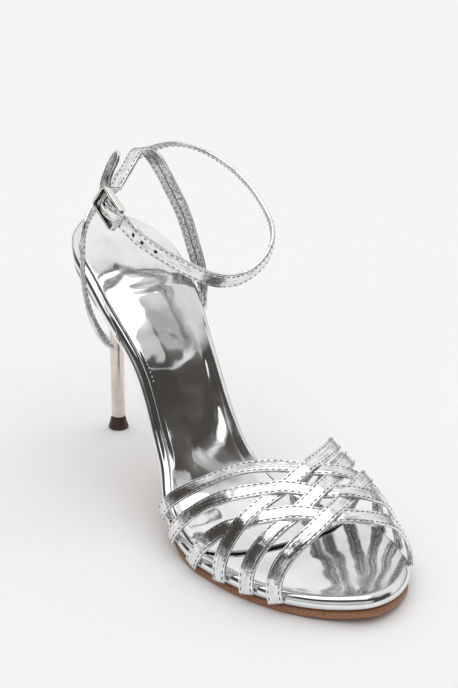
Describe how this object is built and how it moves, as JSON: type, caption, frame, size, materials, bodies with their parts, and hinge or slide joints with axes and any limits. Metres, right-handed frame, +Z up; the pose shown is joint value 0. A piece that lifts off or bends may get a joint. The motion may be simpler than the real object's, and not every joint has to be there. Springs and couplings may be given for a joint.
{
  "type": "ankle strap stiletto sandal",
  "caption": "Right open-toe stiletto sandal with a woven strap vamp, crossed ankle straps, a side buckle, a thin sole and a slim pin heel on a small tip.",
  "frame": {"origin": "middle of the shoe's outline on the floor", "axes": "+Z up, -Y to the toe, +X to the inner side of the right foot"},
  "size_m": [0.0812, 0.2242, 0.1447],
  "materials": {
    "metallic_wrap": "silver foil, mirror gloss",
    "metallic_straps": "silver foil, mirror gloss, stitched edges",
    "outsole_sheet": "tan, matt edge",
    "heel_metal": "champagne metal, satin",
    "heel_rubber": "dark brown",
    "buckle_metal": "polished",
    "elastic_tab": "ribbed elastic"
  },
  "bodies": {
    "root": {"insole_board": "metallic_wrap", "sock": "metallic_wrap", "heel_cup": "metallic_wrap", "vamp_straps": "metallic_straps", "ankle_strap_long": "metallic_straps", "ankle_strap_short": "metallic_straps", "outsole": "outsole_sheet", "heel_pin": "heel_metal", "heel_tip": "heel_rubber", "buckle_frame": "buckle_metal", "buckle_prong": "buckle_metal", "buckle_elastic": "elastic_tab"}
  },
  "joints": []
}
